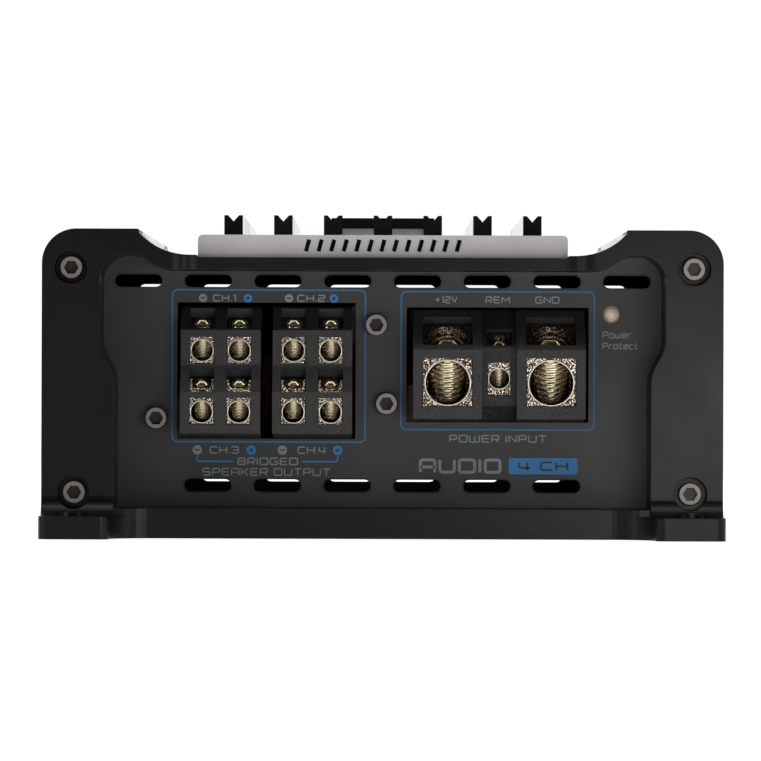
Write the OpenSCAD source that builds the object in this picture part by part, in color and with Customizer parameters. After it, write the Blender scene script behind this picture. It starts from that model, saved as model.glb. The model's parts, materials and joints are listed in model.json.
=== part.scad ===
// Compact four-channel car amplifier: finned aluminium body, twin cast end caps, recessed terminal panel.
// X runs across the width, Y along the length with the terminals at -Y, Z up; the feet stand on Z = 0.
// All lengths are in millimetres.

/* [Case] */
// Overall length over the mounting feet
case_len = 194; // [180:1:240]
// Width over the cheeks of the end caps
case_w = 140.6; // [140.6:0.2:150]
// How far the mounting feet stand out in front of the cheeks
foot_reach = 9.5; // [8.5:0.5:12]
// Depth from the cheek faces back to the recessed panel
cap_depth = 20; // [19:0.5:24]
// Wall thickness of the extruded body
wall = 3.2; // [2.8:0.1:3.6]

/* [Heat sink] */
// Number of roof fins
fin_count = 7; // [3:2:7]
// Centre distance of the fins
fin_pitch = 10.43; // [9.4:0.01:10.6]
// Thickness of one fin
fin_w = 3.9; // [3.4:0.1:4.4]
// Height of the fin tips above the ground
fin_top = 67.3; // [66.8:0.1:67.6]

/* [Panels] */
// Thickness of both panel sheets
panel_t = 1.2; // [1:0.1:1.4]
// Length of one vent slot
vent_w = 9.86; // [8:0.02:11]
// Height of one vent slot
vent_h = 2.6; // [2:0.1:3]
// Centre distance of the vent slots
vent_pitch = 14.6; // [13:0.1:15]
// Diameter of the indicator lamp
led_d = 3; // [2.6:0.1:3.2]

/* [Terminals] */
// Diameter of the speaker wire entries
speaker_bore = 4.6; // [3.6:0.1:4.6]
// Diameter of the power wire entries
power_bore = 9.4; // [8:0.1:9.4]
// Diameter of the remote wire entry
remote_bore = 4.7; // [3.6:0.1:4.7]
// Radial play of a clamp screw in its thread
thread_play = 0.05; // [0.04:0.01:0.08]

/* [Hidden] */
$fn = 64;
eps = 0.1;

// Main stations
hw = case_w / 2;
half_len = case_len / 2;
y_cheek = foot_reach - half_len;
lip_back = 2;
y_lip = y_cheek + lip_back;
y_panel = y_cheek + cap_depth;
y_body = y_panel + panel_t;
body_bottom = 0.8;

// Shoulders and roof
shoulder_top = 63.9;
shoulder_r = 7.1;
roof_top = 58.6;
roof_under = 54.8;
cove_r = 14;
cove_x = hw - 30.3;
cove_stop_x = hw - 20;
cove_chamfer = 0.25;

// Opening of an end cap
open_low = hw - 14.95;
open_high = hw - 11.95;
open_bottom = 6.2;
open_top = 55.5;
open_corner_r = 5.6;
open_corner_z = 53.1;
side_bend_r = 8.4;
side_bend_low = 32;
side_bend_high = 41.6;
top_bend_r = 7.4;
top_bend_x = hw - 26.75;

// Feet and rail
foot_h = 4.7;
foot_in = hw - 14.3;
foot_out = hw + 0.2;
foot_r = 2;
rail_h = 6.2;
rail_cove_r = 8.5;
foot_fillet_r = 4;
mount_x = hw - 6.3;
mount_y = y_cheek - 5;
mount_d = 4.5;
mount_face_d = 7.2;
mount_face_z = 4.3;

// Corner screws
corner_top = [hw - 6, 55.9];
corner_low = [hw - 6.7, 9.5];
bore_d = 6.8;
bore_depth = 4;
screw_d = 3;
screw_hole_d = 3.4;
thread_hole_d = 3.1;
boss_r = 3.6;
corner_head_d = 4.8;
corner_head_h = 2.6;
corner_len = 27;

// Badge bar and roof plate
badge_half = 38.3;
badge_t = 2.5;
badge_top = 62.85;
seat_z = 58.1;
plate_w = 22.1;
plate_len = 60;
plate_z = 65.4;
plate_t = 2.3;

// Panel sheet
panel_low = 3.4;
panel_mid = 57.4;
panel_ear = 59.9;
panel_half = hw - 10.1;
ear_in = hw - 22.5;
ear_out = hw - 11.1;
seat_play = 0.15;
vent_high_z = 53.5;
vent_low_z = 10.7;

// Bottom cover and board
cover_low = 0.9;
cover_t = 1.5;
flange_top = 6.4;
flange_in = hw - 13.3;
ledge_in = hw - 11.8;
ledge_low = 12;
board_low = 15;
board_top = 16.6;
board_half = hw - 4.1;
board_screw_x = hw - 10.3;

// Clamps in general: forward lean of the screws in degrees, play of a cage in its pocket
tilt = 35;
pocket_play = 0.1;
driver_reach = 22;
ear_front = -1.4;
ear_back = -12;

// Speaker clamps: column centres, profiles as [distance in front of the panel, height]
speaker_x = [-37.62, -29.88, -18.55, -10.81];
speaker_case = [
    [9.5, 21.6], [9.5, 30.25], [5.5, 35.8], [5.5, 43.2], [-1.3, 47.75], [-2.5, 48.2],
    [-16, 48.2], [-16, board_top], [-2.2, board_top], [-2.2, 21.6]
];
speaker_w = 5.2;
upper_cage = [[4.9, 36.2], [4.9, 42.8], [0.9, 45.6], [-7, 45.6], [-7, 36.2]];
lower_cage = [[8.9, 23.6], [8.9, 29.9], [6.7, 32.9], [-3, 32.9], [-3, 23.6]];
upper_axis = [-1.22, 38.9];
lower_axis = [2.7, 26.1];
upper_entry = [36.1, 41.7];
lower_entry = [23.5, 29];
upper_window = [[5.2, 43.8], [1.6, 50], [-1.3, 47.75], [-1.3, 45.65], [1.5, 44.5], [4.4, 43]];
lower_window = [[11, 30.4], [11, 35.2], [3, 35.2], [3, 33.5], [8.6, 30.1], [9.3, 30.3]];
speaker_driver_d = 4.6;
speaker_bore_back = 3.5;
speaker_screw_r = 2;
speaker_screw_len = 8;
screw_below = 1.04;

// Power clamps
power_x = [13.55, 35.05];
power_case = [
    [12, 24.8], [12, 39.2], [11, 40.2], [0.6, 47.5], [-18, 47.5], [-18, board_top],
    [-2.2, board_top], [-2.2, 24.8]
];
power_case_w = 14.3;
power_w = 10.4;
power_cage = [[11.2, 27.5], [11.2, 38.7], [2.9, 44.5], [-8, 44.5], [-8, 27.5]];
power_axis = [0.3, 32.3];
power_entry = [27.4, 37.4];
power_window = [[12.14, 41.84], [3.88, 47.64], [2.74, 46], [1.6, 44.36], [9.86, 38.56]];
power_bore_back = 5;
power_screw_r = 4;
power_screw_len = 12;
power_screw_below = 2.56;

// Remote clamp
remote_x = 24.3;
remote_case = [[8.5, 27.5], [8.5, 39.5], [8.1, 40.1], [-2.4, 47.5], [-12, 47.5], [-12, 27.5]];
remote_web = [[-3.2, board_top], [-3.2, 28], [-12, 28], [-12, board_top]];
remote_w = 4.9;
remote_cage = [[7.7, 29.85], [7.7, 39.65], [3.2, 42.8], [-6, 42.8], [-6, 29.85]];
remote_axis = [0.3, 33.2];
remote_entry = [29.75, 36.5];
remote_window = [[9.2, 41.6], [4.4, 45], [3.3, 43.5], [2.9, 42.9], [7.6, 39.6]];
remote_window_w = 5.5;
remote_driver_d = 4.5;
remote_screw_len = 9.6;
remote_screw_below = 1.1;

// Terminal cut-outs as [low corner, size], panel fasteners and lamp as [x, z]
speaker_cutout = [[-42.9, 20.5], [37.25, 28.47]];
power_cutout = [[5.07, 24.1], [38.03, 24]];
panel_screw_at = [[-47.3, 24.75], [-1.3, 44.35], [0.86, 27.9]];
panel_screw_len = 9;
cap_head_d = 4.7;
cap_head_h = 2.9;
head_edge = 0.2;
hex_af = 2.65;
socket_share = 0.7;
led_at = [47.97, 46.7];

// Input end, as [x, z]
phono_at = [[-38.5, 40], [-23.5, 40], [-38.5, 22], [-23.5, 22]];
rear_screw_at = [[-31, 44], [-31, 18.5]];
knob_at = [[-4, 38], [12, 38], [28, 38], [44, 38]];
switch_at = [[4, 21], [36, 21]];
knob_shaft_r = 3;
knob_r = 5.3;
control_y = -y_body - 9.9;
slider_shift = 3;

// Cover, board and toroid
wall_in = hw - wall;
cover_screw_x = (flange_in + wall_in) / 2 - 1.5;
cover_screw_y = [y_body + 14, 0, -y_body - 14];
board_screw_y = [y_body + 20, 0, -y_body - 20];
transformer_at = [-26, -16];

// Power stage along both side walls
device_y = [-40, -24, -8, 8, 24, 40];
bar_screw_y = [-32, 0, 32];
pad_t = 0.5;
device_t = 4.5;
bar_t = 1.8;
bar_z = 29;
bar_half = 47;

// ---------------------------------------------------------------- helpers

// Points on an arc about c from angle a0 to a1
function arc(c, r, a0, a1, n = 12) =
    [for (i = [0:n]) [c[0] + r * cos(a0 + (a1 - a0) * i / n), c[1] + r * sin(a0 + (a1 - a0) * i / n)]];

// Angle of the line from a to b
function heading(a, b) = atan2(b[1] - a[1], b[0] - a[0]);

// A right-hand half outline closed with its mirror image
function both_halves(pts) =
    concat(pts, [for (i = [len(pts) - 1:-1:0]) [-pts[i][0], pts[i][1]]]);

// Profile points given as [distance in front of the panel, height] turned to [y, z]
function from_panel(pts) = [for (p = pts) [-p[0], p[1]]];

// A cage outline with play added in depth, and one with play added in height
function deeper(pts) = [for (p = pts) [p[0] + (p[0] > 0 ? pocket_play : -pocket_play), p[1]]];
function taller(pts, mid) = [for (p = pts) [p[0], p[1] + (p[1] > mid ? pocket_play : -pocket_play)]];

// Upright bar profile from height z0 to z1, standing behind the panel
function ear_profile(z) = [[ear_front, z[0]], [ear_front, z[1]], [ear_back, z[1]], [ear_back, z[0]]];

// Extrudes an XZ outline from y0 to y1
module along_y(y0, y1) {
    translate([0, y1, 0])
        rotate([90, 0, 0])
            linear_extrude(height = y1 - y0)
                children();
}

// Extrudes a terminal profile from x0 to x1, measured from the panel face
module terminal_prism(x0, x1, pts) {
    translate([x0, y_panel, 0])
        rotate([90, 0, 90])
            linear_extrude(height = x1 - x0)
                polygon(from_panel(pts));
}

// Cylinder along Y from y0 to y1 at [x, z]
module rod_y(at, y0, y1, d) {
    translate([at[0], y1, at[1]])
        rotate([90, 0, 0])
            cylinder(h = y1 - y0, d = d);
}

// Moves to a clamp axis; its local Z leans forward and up
module on_clamp_axis(x, axis) {
    translate([x, y_panel - axis[0], axis[1]])
        rotate([tilt, 0, 0])
            children();
}

// Rounded slot lying along X
module slot_2d(w, h) {
    hull() {
        translate([(h - w) / 2, 0])
            circle(d = h, $fn = 32);
        translate([(w - h) / 2, 0])
            circle(d = h, $fn = 32);
    }
}

// Draws its children on the right and, mirrored, on the left
module both_sides() {
    children();
    mirror([1, 0, 0])
        children();
}

// Socket-head screw pointing along +Y: head from y = -head_h to 0, shank behind it
module socket_screw(at, y, head_d, head_h, shank) {
    translate([at[0], y, at[1]])
        rotate([-90, 0, 0])
            difference() {
                union() {
                    translate([0, 0, -eps])
                        cylinder(h = shank + eps, d = screw_d);
                    rotate([180, 0, 0])
                        rotate_extrude()
                            polygon([
                                [0, 0], [head_d / 2, 0], [head_d / 2, head_h - head_edge],
                                [head_d / 2 - head_edge, head_h], [0, head_h]
                            ]);
                }
                translate([0, 0, -head_h - eps])
                    cylinder(h = head_h * socket_share + eps, d = hex_af / cos(30), $fn = 6);
            }
}

// Headless set screw standing on its tip, hexagon socket at the top
module set_screw(r, len, af) {
    difference() {
        rotate_extrude()
            polygon([[0, 0], [r - 0.6, 0], [r, 0.6], [r, len - 0.4], [r - 0.4, len], [0, len]]);
        translate([0, 0, len * 0.55])
            cylinder(h = len, d = af / cos(30), $fn = 6);
    }
}

// ---------------------------------------------------------------- outlines

// Outer outline of the body and the caps above height z0
module outline_2d(z0) {
    cove_c = [cove_x, roof_top + cove_r];
    turn = -acos((cove_stop_x - cove_x) / cove_r);
    polygon(both_halves(concat(
        [[hw, z0]],
        arc([hw - shoulder_r, shoulder_top - shoulder_r], shoulder_r, 0, 90, 16),
        [[cove_stop_x + cove_chamfer, shoulder_top], [cove_stop_x, shoulder_top - cove_chamfer]],
        arc(cove_c, cove_r, turn, -90, 14)
    )));
}

// Front opening of an end cap
module opening_2d() {
    low_c = [open_low + side_bend_r, side_bend_low];
    high_c = [open_high - side_bend_r, side_bend_high];
    side_turn = heading(low_c, high_c);
    peak_c = [open_high - open_corner_r, open_corner_z + open_corner_r - top_bend_r];
    lip_c = [top_bend_x, open_top + top_bend_r];
    top_turn = heading(peak_c, lip_c);
    polygon(both_halves(concat(
        [[open_low, open_bottom]],
        arc(low_c, side_bend_r, 180, side_turn, 8),
        arc(high_c, side_bend_r, side_turn - 180, 0, 8),
        arc([open_high - open_corner_r, open_corner_z], open_corner_r, 0, 90, 12),
        arc(peak_c, top_bend_r, 90, top_turn, 8),
        arc(lip_c, top_bend_r, top_turn - 180, -90, 8)
    )));
}

// Panel sheet outline, widened by g for its seat
module panel_2d(g) {
    translate([-panel_half - g, panel_low - g])
        square([2 * (panel_half + g), panel_mid - panel_low + 2 * g]);
    both_sides()
        translate([ear_in - g, panel_mid - 1])
            square([ear_out - ear_in + 2 * g, panel_ear - panel_mid + 1 + g]);
}

// Plan of the rail and both feet
module foot_plan_2d() {
    polygon(both_halves(concat(
        [[hw, y_body]],
        [[hw, y_panel]],
        [[foot_out, y_panel - 1.5]],
        arc([foot_out - foot_r, foot_r - half_len], foot_r, 0, -90, 8),
        arc([foot_in + foot_r, foot_r - half_len], foot_r, -90, -180, 8),
        arc([foot_in - rail_cove_r, y_lip - rail_cove_r], rail_cove_r, 0, 90, 12)
    )));
}

// Plan of the space in front of the set-back roof lip
module lip_cut_2d() {
    bend_r = 5;
    out_x = hw - 26.3;
    in_x = hw - 32.3;
    out_c = [out_x, y_cheek + bend_r];
    in_c = [in_x, y_lip - bend_r];
    turn = heading(in_c, out_c);
    polygon(both_halves(concat(
        [[out_x + 0.01, y_cheek - 1]],
        arc(out_c, bend_r, -90, turn - 180, 8),
        arc(in_c, bend_r, turn, 90, 8)
    )));
}

// Two rows of vent slots
module vents_2d() {
    for (i = [-3.5:3.5])
        translate([i * vent_pitch, vent_high_z])
            slot_2d(vent_w, vent_h);
    for (i = [-2.5:2.5])
        translate([i * vent_pitch, vent_low_z])
            slot_2d(vent_w, vent_h);
}

// ---------------------------------------------------------------- case

// One extruded roof fin with a grooved tip
module fin_2d() {
    land = 0.8;
    groove = 1.3;
    polygon([
        [-fin_w / 2, roof_top - 1], [fin_w / 2, roof_top - 1], [fin_w / 2, fin_top],
        [fin_w / 2 - land, fin_top], [0, fin_top - groove], [land - fin_w / 2, fin_top],
        [-fin_w / 2, fin_top]
    ]);
}

// Inside of the extruded body with screw bosses, board ledges and cover flanges left standing
module cavity_2d() {
    difference() {
        translate([-wall_in, 0])
            square([2 * wall_in, roof_under]);
        both_sides() {
            translate(corner_top)
                circle(r = boss_r);
            translate(corner_low)
                circle(r = boss_r);
            translate([ledge_in, ledge_low])
                square([wall_in - ledge_in + 1, board_low - ledge_low]);
            translate([flange_in, cover_low + cover_t])
                square([wall_in - flange_in + 1, flange_top - cover_low - cover_t]);
        }
    }
}

module heatsink() {
    groove_z = [14, 26, 38, 50];
    color("#303237")
        difference() {
            along_y(y_body, -y_body)
                difference() {
                    union() {
                        outline_2d(body_bottom);
                        for (i = [0:fin_count - 1])
                            translate([(i - (fin_count - 1) / 2) * fin_pitch, 0])
                                fin_2d();
                    }
                    cavity_2d();
                    both_sides() {
                        translate(corner_top)
                            circle(d = thread_hole_d);
                        translate(corner_low)
                            circle(d = thread_hole_d);
                        for (z = groove_z)
                            translate([hw - 0.7, z - 0.6])
                                square([1, 1.2]);
                    }
                }
            translate([-plate_w / 2 - 0.15, -plate_len / 2 - 0.2, plate_z])
                cube([plate_w + 0.3, plate_len + 0.4, 10]);
            both_sides() {
                for (y = cover_screw_y)
                    translate([cover_screw_x, y, cover_low])
                        cylinder(h = flange_top, d = thread_hole_d);
                for (y = board_screw_y)
                    translate([board_screw_x, y, ledge_low - 1])
                        cylinder(h = 5, d = 2.6);
                for (y = bar_screw_y)
                    translate([wall_in - 1, y, bar_z])
                        rotate([0, 90, 0])
                            cylinder(h = 2.7, d = thread_hole_d);
            }
        }
}

// Cast end cap, drawn for the terminal end; the badge seat is milled only when asked for
module end_cap(badge_seat) {
    fillet_top = foot_h + foot_fillet_r;
    fillet = concat(
        [[1, fillet_top], [1, foot_h - 1], [-foot_fillet_r, foot_h - 1]],
        arc([-foot_fillet_r, fillet_top], foot_fillet_r, -90, 0, 10)
    );
    color("#2b2d31")
        difference() {
            union() {
                along_y(y_cheek, y_body)
                    difference() {
                        outline_2d(0);
                        opening_2d();
                    }
                linear_extrude(height = foot_h)
                    foot_plan_2d();
                both_sides()
                    intersection() {
                        translate([open_low, y_cheek, 0])
                            rotate([90, 0, 90])
                                linear_extrude(height = hw - open_low)
                                    polygon(fillet);
                        linear_extrude(height = fillet_top)
                            foot_plan_2d();
                    }
            }
            translate([0, 0, -1])
                linear_extrude(height = rail_h + 1.2)
                    difference() {
                        translate([-foot_in, -half_len - 1])
                            square([2 * foot_in, half_len + y_lip + 2]);
                        foot_plan_2d();
                    }
            translate([0, 0, roof_under - 1])
                linear_extrude(height = 12)
                    lip_cut_2d();
            along_y(y_panel, y_body + 1)
                panel_2d(seat_play);
            if (badge_seat)
                translate([-badge_half - 0.2, y_cheek - 1, seat_z])
                    cube([2 * badge_half + 0.4, 11, 5]);
            both_sides() {
                for (at = [corner_top, corner_low]) {
                    rod_y(at, y_cheek - foot_fillet_r - 1, y_cheek + bore_depth, bore_d);
                    rod_y(at, y_cheek, y_body + 1, screw_hole_d);
                }
                translate([mount_x, mount_y, -1]) {
                    cylinder(h = 8, d = mount_d);
                    translate([0, 0, 1 + mount_face_z])
                        cylinder(h = 8, d = mount_face_d);
                }
            }
        }
}

module corner_screws() {
    color("#8a7f76")
        both_sides()
            for (at = [corner_top, corner_low])
                socket_screw(at, y_cheek + bore_depth, corner_head_d, corner_head_h, corner_len);
}

module terminal_panel() {
    color("#45474b")
        along_y(y_panel, y_body)
            difference() {
                panel_2d(0);
                vents_2d();
                for (cutout = [speaker_cutout, power_cutout])
                    translate(cutout[0])
                        square(cutout[1]);
                translate(led_at)
                    circle(d = led_d + 0.6);
                for (at = panel_screw_at)
                    translate(at)
                        circle(d = screw_hole_d);
            }
}

module input_panel() {
    color("#45474b")
        along_y(-y_body, -y_panel)
            difference() {
                panel_2d(0);
                vents_2d();
                for (at = phono_at)
                    translate(at)
                        circle(d = 9);
                for (at = knob_at)
                    translate(at)
                        circle(d = 2 * knob_shaft_r + 1);
                for (at = switch_at)
                    translate([at[0] - 4.7, at[1] - 1.6])
                        square([9.4, 3.2]);
                for (at = rear_screw_at)
                    translate(at)
                        circle(d = screw_hole_d);
            }
}

module bottom_plate() {
    half_w = wall_in - 0.3;
    color("#3a3c3f")
        difference() {
            translate([-half_w, y_body + 0.3, cover_low])
                cube([2 * half_w, -2 * y_body - 0.6, cover_t]);
            both_sides()
                for (y = cover_screw_y)
                    translate([cover_screw_x, y, cover_low - 0.01]) {
                        cylinder(h = 1.31, d1 = 6, d2 = 3.4);
                        cylinder(h = 4, d = 3.4);
                    }
            for (i = [-3:3], s = [-1, 1])
                translate([i * 12, s * 30, cover_low - 1])
                    linear_extrude(height = 4)
                        rotate(90)
                            slot_2d(22, 3);
        }
}

module bottom_screws() {
    color("#8b8d91")
        both_sides()
            for (y = cover_screw_y)
                translate([cover_screw_x, y, cover_low])
                    difference() {
                        union() {
                            cylinder(h = 1.2, d1 = 5.8, d2 = 3.2);
                            cylinder(h = 5, d = screw_d);
                        }
                        for (a = [0, 90])
                            rotate(a)
                                translate([-1.5, -0.3, -1])
                                    cube([3, 0.6, 1.8]);
                    }
}

module badge_plate() {
    color("#c9cacd")
        difference() {
            union() {
                along_y(y_cheek + 6, y_cheek + 6 + badge_t)
                    polygon(both_halves(concat(
                        [[badge_half, seat_z]],
                        arc([badge_half - 1, badge_top - 1], 1, 0, 90, 6)
                    )));
                translate([-badge_half, y_cheek + 6, seat_z])
                    cube([2 * badge_half, 3.8, 1.2]);
            }
            for (i = [-6:6])
                translate([i * 2.6, y_cheek + 6.25, (seat_z + badge_top) / 2 + 0.2])
                    rotate([90, 15, 0])
                        linear_extrude(height = 1)
                            square([0.9, 2.6], center = true);
        }
}

// Thin plate let into the middle fins, with a plain raised frame
module roof_plate() {
    color("#b9bbbf")
        difference() {
            translate([-plate_w / 2, -plate_len / 2, plate_z])
                cube([plate_w, plate_len, plate_t]);
            translate([1.2 - plate_w / 2, 1.2 - plate_len / 2, plate_z + plate_t - 0.4])
                cube([plate_w - 2.4, plate_len - 2.4, 1]);
        }
}

module panel_screws_front() {
    color("#7d7974")
        for (at = panel_screw_at)
            socket_screw(at, y_panel, cap_head_d, cap_head_h, panel_screw_len);
}

module panel_screws_rear() {
    color("#7d7974")
        mirror([0, 1, 0])
            for (at = rear_screw_at)
                socket_screw(at, y_panel, cap_head_d, cap_head_h, panel_screw_len);
}

// ---------------------------------------------------------------- terminals

// Pocket for one clamp: cage seat, wire entry, screw window and driver path
module clamp_pocket(x, w, cage, axis, entry, window, window_w, driver_d) {
    front = cage[0][0];
    mouth = [[front + 2, entry[0]], [front + 2, entry[1]], [front - 2, entry[1]], [front - 2, entry[0]]];
    terminal_prism(x - w / 2, x + w / 2, deeper(cage));
    terminal_prism(x - w / 2, x + w / 2, taller(cage, axis[1]));
    terminal_prism(x - w / 2, x + w / 2, mouth);
    terminal_prism(x - window_w / 2, x + window_w / 2, window);
    on_clamp_axis(x, axis)
        cylinder(h = driver_reach, d = driver_d);
}

// Both wire decks of one pair of columns, x0 to x1 wide
module speaker_block(x0, x1, columns, ear_x, ear_z) {
    color("#3c3a39")
        difference() {
            union() {
                terminal_prism(x0, x1, speaker_case);
                terminal_prism(ear_x[0], ear_x[1], ear_profile(ear_z));
            }
            for (x = columns) {
                clamp_pocket(x, speaker_w, upper_cage, upper_axis, upper_entry,
                    upper_window, speaker_w, speaker_driver_d);
                clamp_pocket(x, speaker_w, lower_cage, lower_axis, lower_entry,
                    lower_window, speaker_w, speaker_driver_d);
            }
            for (at = panel_screw_at)
                rod_y(at, y_panel, y_panel + 10, thread_hole_d);
        }
}

// Plated cage with a wire bore ending bore_back behind the panel face and a leaning threaded hole
module clamp_cage(x, w, cage, axis, bore, bore_back, screw_r) {
    difference() {
        terminal_prism(x - w / 2 + pocket_play, x + w / 2 - pocket_play, cage);
        rod_y([x, axis[1]], y_panel - 20, y_panel + bore_back, bore);
        on_clamp_axis(x, axis)
            cylinder(h = driver_reach, r = screw_r + thread_play);
    }
}

module speaker_clamps() {
    color("#b9a98c")
        for (x = speaker_x)
            for (deck = [[upper_cage, upper_axis], [lower_cage, lower_axis]])
                clamp_cage(x, speaker_w, deck[0], deck[1],
                    speaker_bore, speaker_bore_back, speaker_screw_r);
}

module power_block() {
    half = power_case_w / 2;
    color("#3c3a39")
        difference() {
            union() {
                for (x = power_x)
                    terminal_prism(x - half, x + half, power_case);
                terminal_prism(power_x[0], power_x[1], remote_case);
                terminal_prism(power_x[0], power_x[1], remote_web);
                terminal_prism(-3.4, 8, ear_profile([24, 31.8]));
            }
            for (x = power_x)
                clamp_pocket(x, power_w, power_cage, power_axis, power_entry,
                    power_window, power_w, 2 * power_screw_r + 0.3);
            clamp_pocket(remote_x, remote_w, remote_cage, remote_axis, remote_entry,
                remote_window, remote_window_w, remote_driver_d);
            for (at = panel_screw_at)
                rod_y(at, y_panel, y_panel + 10, thread_hole_d);
        }
}

module power_clamps() {
    color("#b9a98c")
        for (x = power_x)
            clamp_cage(x, power_w, power_cage, power_axis, power_bore, power_bore_back, power_screw_r);
}

module remote_clamp() {
    color("#b9a98c")
        clamp_cage(remote_x, remote_w, remote_cage, remote_axis,
            remote_bore, speaker_bore_back, speaker_screw_r);
}

module speaker_screw(x, axis) {
    color("#9a9691")
        on_clamp_axis(x, axis)
            translate([0, 0, -screw_below])
                set_screw(speaker_screw_r, speaker_screw_len, 2);
}

module power_screw(x) {
    color("#9a9691")
        on_clamp_axis(x, power_axis)
            translate([0, 0, -power_screw_below])
                set_screw(power_screw_r, power_screw_len, 4);
}

module remote_screw() {
    color("#9a9691")
        on_clamp_axis(remote_x, remote_axis)
            translate([0, 0, -remote_screw_below])
                set_screw(speaker_screw_r, remote_screw_len, 2);
}

module indicator_lamp() {
    lens_r = led_d / 2;
    flange_r = lens_r + 0.4;
    color("#dccbb4")
        translate([led_at[0], y_panel, led_at[1]]) {
            rotate([90, 0, 0])
                rotate_extrude()
                    polygon(concat(
                        [[0, -6], [flange_r, -6], [flange_r, -5], [lens_r, -5], [lens_r, -0.4]],
                        arc([0, -0.4], lens_r, 0, 90, 8)
                    ));
            for (s = [-1, 1])
                translate([s * 1.27 - 0.25, 5, 0]) {
                    translate([0, 0.5, -0.25])
                        cube([0.5, 3, 0.5]);
                    translate([0, 3, board_top - led_at[1]])
                        cube([0.5, 0.5, led_at[1] - board_top]);
                }
        }
}

// ---------------------------------------------------------------- electronics

module circuit_board() {
    color("#2e6b45")
        difference() {
            translate([-board_half, y_body + 1.3, board_low])
                cube([2 * board_half, -2 * y_body - 2.6, board_top - board_low]);
            both_sides()
                for (y = board_screw_y)
                    translate([board_screw_x, y, board_low - 1])
                        cylinder(h = 4, d = 2.9);
        }
}

module board_screws() {
    color("#8b8d91")
        both_sides()
            for (y = board_screw_y)
                translate([board_screw_x, y, board_top])
                    difference() {
                        union() {
                            cylinder(h = 1.6, d = 4.6);
                            translate([0, 0, -4.4])
                                cylinder(h = 4.5, d = 2.5);
                        }
                        for (a = [0, 90])
                            rotate(a)
                                translate([-1.3, -0.3, 0.8])
                                    cube([2.6, 0.6, 1]);
                    }
}

module transformer_core() {
    color("#4a4d52")
        translate([transformer_at[0], transformer_at[1], 0])
            rotate_extrude()
                translate([9, 20])
                    square([8, 14]);
}

module transformer_winding() {
    color("#a8612c")
        translate([transformer_at[0], transformer_at[1], 0])
            rotate_extrude()
                difference() {
                    translate([5.5, board_top])
                        square([15.5, 20.8]);
                    translate([8.95, 19.95])
                        square([8.1, 14.1]);
                }
}

module filter_chokes() {
    color("#9b5a2a")
        for (x = [-48, -28, -8, 12])
            translate([x, 34, board_top])
                rotate_extrude()
                    polygon([
                        [3.6, 0], [8, 0], [8.6, 0.8], [8.6, 7.6],
                        [8, 8.4], [3.6, 8.4], [3, 7.6], [3, 0.8]
                    ]);
}

// Electrolytic can with a crimp groove near its foot
module can_capacitor(r, h) {
    rotate_extrude()
        polygon([
            [0, 0], [r - 0.4, 0], [r, 0.4], [r, 2.2], [r - 0.5, 2.8], [r - 0.5, 3.2], [r, 3.8],
            [r, h - 0.6], [r - 0.6, h], [0, h]
        ]);
}

module reservoir_capacitors() {
    color("#26303f")
        for (x = [14, 34], y = [-34, -14])
            translate([x, y, board_top])
                can_capacitor(8, 32);
}

module small_capacitors() {
    color("#2a2d33")
        for (x = [8, 20, 32, 44])
            translate([x, 8, board_top])
                can_capacitor(4, 13);
}

module board_chips() {
    color("#1d1e20")
        for (x = [-44, -26, -8])
            translate([x - 5, 14, board_top])
                cube([10, 6, 2]);
}

module power_transistors() {
    x_out = wall_in - pad_t;
    color("#222326")
        both_sides()
            for (y = device_y) {
                translate([x_out - device_t, y - 5, 21])
                    cube([device_t, 10, 15.5]);
                for (p = [-2.54, 0, 2.54])
                    translate([x_out - 2.9, y + p - 0.4, board_top])
                        cube([0.6, 0.8, 21.1 - board_top]);
            }
}

module insulating_pads() {
    color("#8f9aa0")
        both_sides()
            difference() {
                translate([wall_in - pad_t, -bar_half, 20])
                    cube([pad_t, 2 * bar_half, 17.5]);
                for (y = bar_screw_y)
                    translate([wall_in - 2, y, bar_z])
                        rotate([0, 90, 0])
                            cylinder(h = 4, d = screw_hole_d);
            }
}

module clamp_bars() {
    x_in = wall_in - pad_t - device_t - bar_t;
    color("#7c7f83")
        both_sides()
            difference() {
                translate([x_in, -bar_half, bar_z - 3])
                    cube([bar_t, 2 * bar_half, 6]);
                for (y = bar_screw_y)
                    translate([x_in - 1, y, bar_z])
                        rotate([0, 90, 0])
                            cylinder(h = 4, d = screw_hole_d);
            }
}

module clamp_bar_screws() {
    x_in = wall_in - pad_t - device_t - bar_t;
    color("#8b8d91")
        both_sides()
            for (y = bar_screw_y)
                translate([x_in, y, bar_z])
                    rotate([0, 90, 0]) {
                        cylinder(h = wall_in + 1.5 - x_in, d = screw_d);
                        translate([0, 0, -2])
                            cylinder(h = 2, d = 5.4);
                    }
}

// ---------------------------------------------------------------- input end

module control_board() {
    color("#2e6b45")
        translate([-12, control_y, board_top])
            cube([66, 1.6, 30]);
}

module control_chips() {
    color("#1d1e20")
        for (x = [-4, 12, 28, 44])
            translate([x - 3, control_y - 1.5, 28])
                cube([6, 1.5, 5]);
}

module phono_block() {
    color("#26272a")
        difference() {
            translate([-47, -y_body - 12, board_top])
                cube([32, 11.9, 48 - board_top]);
            for (at = rear_screw_at)
                rod_y(at, -y_body - 8.5, -y_body + 1, thread_hole_d);
        }
}

module phono_shells() {
    color("#c2a25a")
        for (at = phono_at)
            difference() {
                union() {
                    rod_y(at, -y_body - 0.1, -y_panel + 9.5, 8.3);
                    rod_y(at, -y_panel, -y_panel + 1.2, 10.6);
                }
                rod_y(at, -y_body - 1, -y_panel + 10, 7.1);
            }
}

module phono_inserts() {
    color("#d8d6d0")
        for (at = phono_at)
            difference() {
                rod_y(at, -y_body - 0.1, -y_panel + 7.5, 7);
                rod_y(at, -y_body + 2, -y_panel + 8, 3.4);
            }
}

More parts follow.
